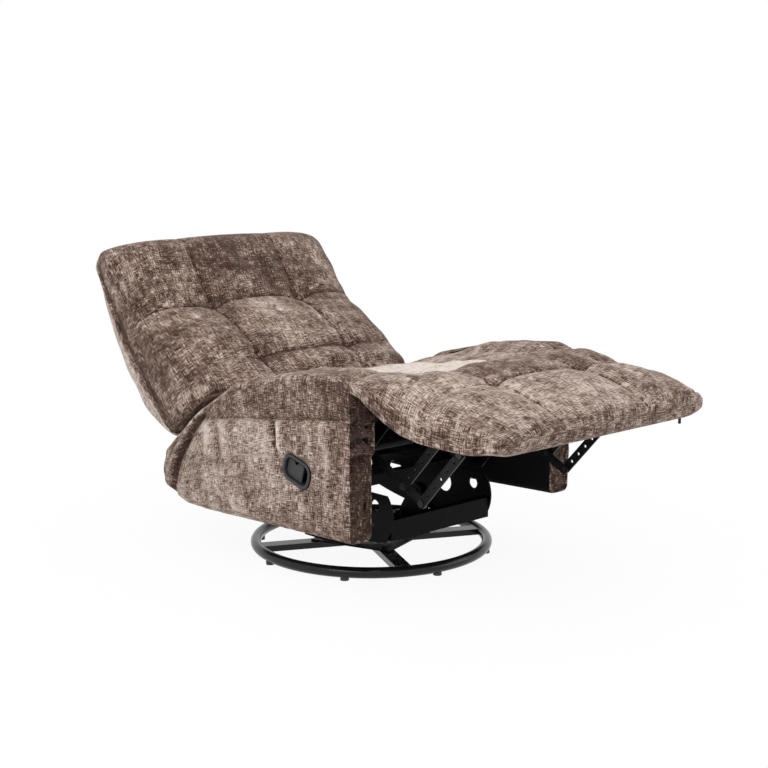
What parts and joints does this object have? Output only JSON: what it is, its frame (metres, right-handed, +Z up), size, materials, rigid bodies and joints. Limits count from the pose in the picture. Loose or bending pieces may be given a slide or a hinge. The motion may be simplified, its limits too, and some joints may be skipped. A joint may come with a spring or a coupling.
{
  "type": "swivel rocker recliner",
  "caption": "Upholstered recliner shown reclined with its footrest out: tufted chaise pad, low fan arms, black folding linkage and a ring base it swivels and rocks on.",
  "frame": {"origin": "on the floor under the swivel axis, at the centre of the ring base", "axes": "+Z up, the chair faces -Y, +X towards the sitter's left"},
  "size_m": [0.7825, 1.498, 0.7727],
  "materials": {
    "ring_paint": "black powder coat, satin gloss",
    "black_steel": "black painted stamped steel",
    "link_steel": "dark grey painted steel bar",
    "bright_steel": "zinc plated steel",
    "black_rubber": "black rubber",
    "glide_plastic": "black moulded plastic",
    "handle_plastic": "black moulded plastic, fine grain",
    "chenille": "mottled taupe brown chenille",
    "lined_board": "board with black lining cloth",
    "board_wood": "plain plywood",
    "webbing": "woven black webbing"
  },
  "bodies": {
    "base": {"base_ring": "ring_paint", "base_spokes": "ring_paint", "floor_glides": "glide_plastic", "hub_plate": "ring_paint", "hub_bolts": "bright_steel", "lower_race": "bright_steel", "swivel_balls": "bright_steel", "king_bolt": "bright_steel", "king_nut": "bright_steel"},
    "turntable": {"upper_race": "bright_steel", "turntable_plate": "black_steel", "pedestal_right": "black_steel", "pedestal_left": "black_steel", "pedestal_bolts": "bright_steel", "rocker_pins": "bright_steel"},
    "chassis": {"rocker_bushes": "black_rubber", "rocker_plate_right": "black_steel", "rocker_plate_left": "black_steel", "front_bar": "black_steel", "rear_bar": "black_steel", "cross_tubes": "black_steel", "side_plate_right": "black_steel", "side_plate_left": "black_steel", "arm_spacers": "black_steel", "arm_bolts": "bright_steel", "footrest_pins": "bright_steel", "back_pins": "bright_steel", "arm_board_right": "lined_board", "arm_board_left": "lined_board", "arm_pad_right": "chenille", "arm_pad_left": "chenille", "rear_rail": "board_wood", "seat_side_rails": "board_wood", "seat_cross_rails": "board_wood", "seat_webbing": "webbing", "seat_cushion": "chenille", "handle_bezel": "handle_plastic", "handle_pin": "bright_steel"},
    "backrest": {"back_board": "board_wood", "back_brackets": "black_steel", "back_cushion": "chenille", "back_roll": "chenille", "back_cover": "chenille"},
    "footrest": {"footrest_board": "board_wood", "footrest_cushion": "chenille", "footrest_brackets": "black_steel", "link_upper_pins": "bright_steel", "zipper_pull": "black_steel"},
    "lower_links": {"torque_tube": "black_steel", "lower_link_right": "link_steel", "lower_link_left": "link_steel", "link_lower_pins": "bright_steel"},
    "front_links": {"front_link_right": "link_steel", "front_link_left": "link_steel"},
    "rear_links": {"rear_link_right": "link_steel", "rear_link_left": "link_steel"},
    "handle": {"handle_paddle": "handle_plastic"}
  },
  "joints": [
    {"name": "swivel", "type": "hinge", "parent": "base", "child": "turntable", "pos_m": [0, 0, 0.04], "axis": [0, 0, 1], "continuous": true},
    {"name": "rock", "type": "hinge", "parent": "turntable", "child": "chassis", "pos_m": [0, 0, 0.118], "axis": [1, 0, 0], "range_deg": [-8, 4], "stiffness_Nm_per_rad": 1200},
    {"name": "back_recline", "type": "hinge", "parent": "chassis", "child": "backrest", "pos_m": [0, 0.205, 0.38], "axis": [1, 0, 0], "range_deg": [0, 36]},
    {"name": "footrest_fold", "type": "hinge", "parent": "chassis", "child": "footrest", "pos_m": [0, -0.375, 0.483], "axis": [1, 0, 0], "range_deg": [0, 84]},
    {"name": "lower_link_turn", "type": "hinge", "parent": "chassis", "child": "lower_links", "pos_m": [0, -0.25, 0.346], "axis": [1, 0, 0], "range_deg": [0, 84]},
    {"name": "front_link_turn", "type": "hinge", "parent": "lower_links", "child": "front_links", "pos_m": [0, -0.45, 0.247], "axis": [1, 0, 0], "range_deg": [-84, 0]},
    {"name": "rear_link_turn", "type": "hinge", "parent": "lower_links", "child": "rear_links", "pos_m": [0, -0.39, 0.2767], "axis": [1, 0, 0], "range_deg": [-84, 0]},
    {"name": "handle_pull", "type": "hinge", "parent": "chassis", "child": "handle", "pos_m": [-0.3795, -0.13409, 0.30172], "axis": [0, 0.2756, -0.9613], "range_deg": [0, 30], "stiffness_Nm_per_rad": 0.4}
  ],
  "couplings": [
    {"joint": "lower_link_turn", "follows": "footrest_fold", "ratio": 1},
    {"joint": "front_link_turn", "follows": "footrest_fold", "ratio": -1},
    {"joint": "rear_link_turn", "follows": "footrest_fold", "ratio": -1}
  ]
}
